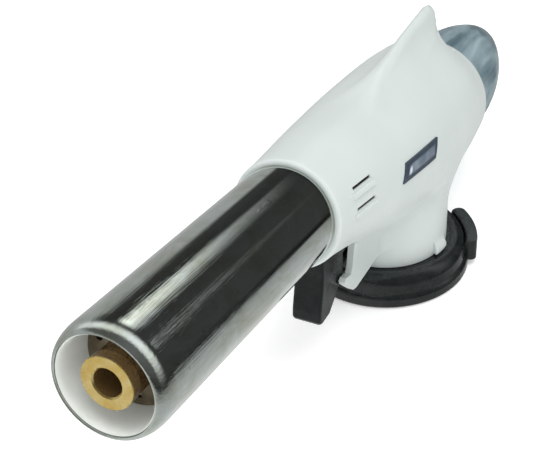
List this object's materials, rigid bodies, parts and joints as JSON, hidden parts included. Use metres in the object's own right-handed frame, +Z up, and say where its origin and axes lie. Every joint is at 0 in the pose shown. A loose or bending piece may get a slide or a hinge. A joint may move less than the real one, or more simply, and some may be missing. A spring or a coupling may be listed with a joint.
{
  "type": "butane torch head",
  "caption": "Pistol-shaped gas torch head: upswept flame tube, white two-part body, trigger with piezo igniter, rear gas knob and a twist-lock ring for a cartridge.",
  "frame": {"origin": "centre of the lock ring's resting face, on the gas cartridge's axis", "axes": "+Z up along the cartridge axis, +X forward towards the flame tube's mouth, +Y the side with the badge. The flame tube rises 8 degrees towards its mouth in the XZ plane."},
  "size_m": [0.1944, 0.0442, 0.0681],
  "materials": {
    "white_shell": "satin moulded ABS",
    "badge": "printed plate, plain bands",
    "chrome_tube": "bright polished stainless",
    "ceramic": null,
    "burner_disc": "heat-greyed",
    "nozzle_brass": "turned",
    "valve_brass": "machined",
    "zinc_steel": "zinc plated",
    "seal_rubber": "matt",
    "knob_grey": "satin fluted",
    "black_plastic": "satin",
    "igniter_case": "moulded",
    "lead_sleeve": "extruded sleeve"
  },
  "bodies": {
    "torch_body": {"left_shell": "white_shell", "right_shell": "white_shell", "shell_screws": "zinc_steel", "badge_plate": "badge", "flame_tube": "chrome_tube", "ceramic_cup": "ceramic", "stabiliser_disc": "burner_disc", "burner_nozzle": "nozzle_brass", "mixing_tube": "valve_brass", "tube_spider": "zinc_steel", "jet_holder": "valve_brass", "gas_jet": "valve_brass", "jet_filter": "valve_brass", "valve_block": "valve_brass", "spindle_seal": "seal_rubber", "gland_nut": "valve_brass", "base_plate": "black_plastic", "retainer_plate": "zinc_steel", "retainer_screws": "zinc_steel", "inlet_stem": "valve_brass", "inlet_seal": "seal_rubber", "igniter_body": "igniter_case", "return_spring": "zinc_steel", "spark_electrode": "zinc_steel", "electrode_insulator": "ceramic", "ignition_lead": "lead_sleeve"},
    "knob": {"control_knob": "knob_grey"},
    "needle": {"needle_spindle": "zinc_steel"},
    "trigger": {"trigger": "black_plastic"},
    "plunger": {"igniter_plunger": "black_plastic"},
    "lock_ring": {"lock_ring": "black_plastic", "claw_plate": "zinc_steel", "claw_rivets": "zinc_steel"}
  },
  "joints": [
    {"name": "knob_turn", "type": "hinge", "parent": "torch_body", "child": "knob", "pos_m": [-0.05, 0, 0.0284], "axis": [-1, 0, 0], "range_deg": [0, 540]},
    {"name": "needle_travel", "type": "slide", "parent": "knob", "child": "needle", "axis": [-1, 0, 0], "range_m": [0, 0.0012]},
    {"name": "trigger_pull", "type": "slide", "parent": "torch_body", "child": "trigger", "axis": [-1, 0, 0], "range_m": [0, 0.006], "stiffness_N_per_m": 500, "springref_m": -0.002},
    {"name": "plunger_travel", "type": "slide", "parent": "torch_body", "child": "plunger", "axis": [-1, 0, 0], "range_m": [0, 0.006], "deforming": ["return_spring"]},
    {"name": "ring_turn", "type": "hinge", "parent": "torch_body", "child": "lock_ring", "pos_m": [0, 0, 0.004], "axis": [0, 0, 1], "range_deg": [0, 35]}
  ],
  "couplings": [
    {"joint": "knob_turn", "follows": "needle_travel", "rad_per_m": 7853.9},
    {"joint": "plunger_travel", "follows": "trigger_pull", "ratio": 1}
  ]
}
